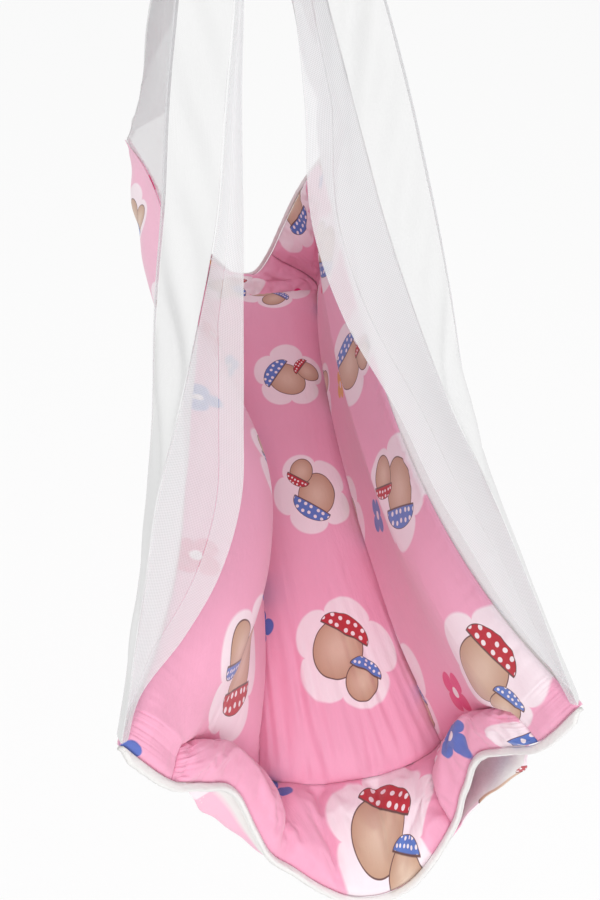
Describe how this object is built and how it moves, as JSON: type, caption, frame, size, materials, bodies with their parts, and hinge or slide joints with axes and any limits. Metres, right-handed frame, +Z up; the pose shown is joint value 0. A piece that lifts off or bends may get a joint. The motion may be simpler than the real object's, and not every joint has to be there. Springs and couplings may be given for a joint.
{
  "type": "hanging baby cradle",
  "caption": "Padded cotton hammock bed with net sides, cloth bands gathered into a sleeve, and a ring on a swivel hook that lets it swing and turn.",
  "frame": {"origin": "middle of the hanging eye's hole, where the ceiling hook holds the part up", "axes": "+Z up, +Y along the bed from the near end in the picture to the far end, +X to the right in the picture"},
  "size_m": [0.3619, 1.0436, 0.9941],
  "materials": {
    "quilt_cotton": "printed cotton, lightly sheened",
    "outer_cotton": "printed cotton seen with its pale side",
    "white_cotton": "plain woven",
    "white_net": "fine knitted net",
    "zinc_steel": "zinc plated, satin"
  },
  "bodies": {
    "hanger": {"swivel_eye": "zinc_steel", "swivel_collar": "zinc_steel"},
    "hook": {"swivel_hook": "zinc_steel"},
    "ring": {"d_ring": "zinc_steel"},
    "cradle": {"floor_pad": "quilt_cotton", "left_wall_pad": "quilt_cotton", "right_wall_pad": "quilt_cotton", "near_end_pad": "quilt_cotton", "far_end_pad": "quilt_cotton", "near_left_roll": "quilt_cotton", "near_right_roll": "quilt_cotton", "far_left_roll": "quilt_cotton", "far_right_roll": "quilt_cotton", "left_rim": "quilt_cotton", "right_rim": "quilt_cotton", "outer_cloth": "outer_cotton", "near_binding": "white_cotton", "far_binding": "white_cotton", "near_left_band": "white_cotton", "near_right_band": "white_cotton", "far_left_band": "white_cotton", "far_right_band": "white_cotton", "gather_sleeve": "white_cotton", "hanging_loop": "white_cotton", "near_left_flange": "white_net", "near_right_flange": "white_net", "far_left_flange": "white_net", "far_right_flange": "white_net", "near_left_hem": "white_net", "near_right_hem": "white_net", "far_left_hem": "white_net", "far_right_hem": "white_net", "left_net": "white_net", "right_net": "white_net"}
  },
  "joints": [
    {"name": "swivel_turn", "type": "hinge", "parent": "hanger", "child": "hook", "pos_m": [0, 0, -0.0424], "axis": [0, 0, 1], "continuous": true},
    {"name": "end_to_end_swing", "type": "hinge", "parent": "hook", "child": "ring", "pos_m": [0, 0, -0.0899], "axis": [1, 0, 0], "range_deg": [-20, 20]},
    {"name": "side_swing", "type": "hinge", "parent": "ring", "child": "cradle", "pos_m": [0, 0, -0.125], "axis": [0, 1, 0], "range_deg": [-25, 25]}
  ]
}
